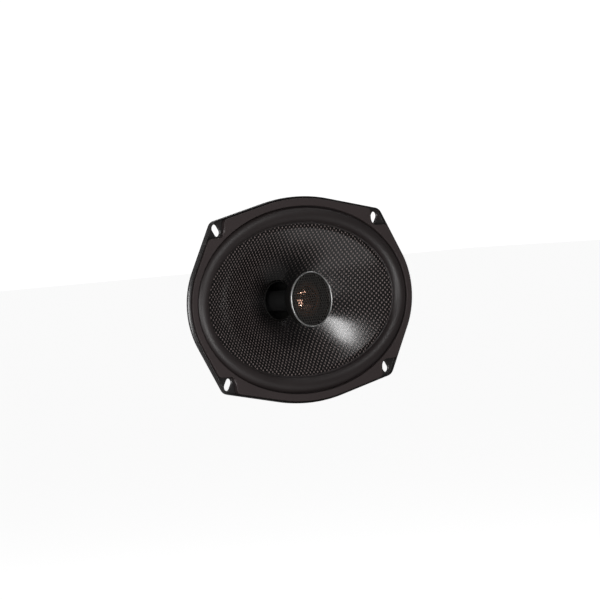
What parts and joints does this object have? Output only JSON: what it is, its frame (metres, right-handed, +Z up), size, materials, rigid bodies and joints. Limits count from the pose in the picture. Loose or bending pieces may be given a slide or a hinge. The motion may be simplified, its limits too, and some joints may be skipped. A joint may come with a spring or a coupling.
{
  "type": "coaxial car speaker",
  "caption": "Oval coaxial car speaker: woven oval cone in a steel basket with a ferrite motor, and a dome tweeter on a central post behind a pierced grille.",
  "frame": {"origin": "centre of the mounting face, the back of the gasket ring that lies against the panel", "axes": "+X along the long axis of the oval, +Y back along the drive axis into the panel (the speaker faces -Y), +Z up"},
  "size_m": [0.2388, 0.0975, 0.165],
  "materials": {
    "stamped_steel": "satin grey-black paint on stamped steel",
    "foam_gasket": "closed-cell foam",
    "moulded_trim": "fine matte moulded texture",
    "surround_rubber": "smooth butyl rubber, soft sheen",
    "woven_cone": "coated plain-weave fibre, glossy",
    "coil_former": "thin lacquered sleeve",
    "copper_winding": "lacquered copper wire",
    "spider_cloth": "resin-dipped woven cloth",
    "plated_steel": "zinc plated",
    "ferrite": "matte sintered ferrite",
    "rivet_metal": "bright",
    "post_plastic": "matte",
    "housing_plastic": "satin black",
    "neodymium": "nickel plated",
    "dome_foil": "coated amber dome",
    "dome_cloth": "impregnated cloth",
    "grille_metal": "pierced, satin black",
    "bright_bezel": "bright silver",
    "fibre_board": "phenolic paper board",
    "tab_metal": "tinned brass",
    "capacitor_sleeve": "shrink sleeve",
    "tinsel": "braided tinsel",
    "wire_jacket": "soft insulation"
  },
  "bodies": {
    "frame": {"basket": "stamped_steel", "mounting_gasket": "foam_gasket", "trim_ring": "moulded_trim", "surround": "surround_rubber", "spider": "spider_cloth", "front_plate": "plated_steel", "plate_rivets": "rivet_metal", "ferrite_magnet": "ferrite", "back_plate": "plated_steel", "tweeter_post": "post_plastic", "post_washer": "plated_steel", "post_nut": "plated_steel", "tweeter_housing": "housing_plastic", "tweeter_yoke": "plated_steel", "tweeter_magnet": "neodymium", "tweeter_pole_plate": "plated_steel", "dome_suspension": "dome_cloth", "tweeter_faceplate": "housing_plastic", "tweeter_grille": "grille_metal", "tweeter_bezel": "bright_bezel", "terminal_board": "fibre_board", "wide_terminal": "tab_metal", "narrow_terminal": "tab_metal", "terminal_rivets": "rivet_metal", "crossover_capacitor": "capacitor_sleeve", "wide_tinsel_lead": "tinsel", "narrow_tinsel_lead": "tinsel", "tweeter_wires": "wire_jacket"},
    "moving_assembly": {"cone": "woven_cone", "voice_coil_former": "coil_former", "voice_coil_winding": "copper_winding", "lead_eyelets": "tab_metal"},
    "tweeter_diaphragm": {"tweeter_dome": "dome_foil", "tweeter_coil": "copper_winding"}
  },
  "joints": [
    {"name": "cone_stroke", "type": "slide", "parent": "frame", "child": "moving_assembly", "axis": [0, -1, 0], "range_m": [-0.005, 0.005], "stiffness_N_per_m": 3000, "deforming": ["surround", "spider", "wide_tinsel_lead", "narrow_tinsel_lead"]},
    {"name": "dome_stroke", "type": "slide", "parent": "frame", "child": "tweeter_diaphragm", "axis": [0, -1, 0], "range_m": [-0.0003, 0.0003], "stiffness_N_per_m": 1000, "deforming": ["dome_suspension"]}
  ]
}
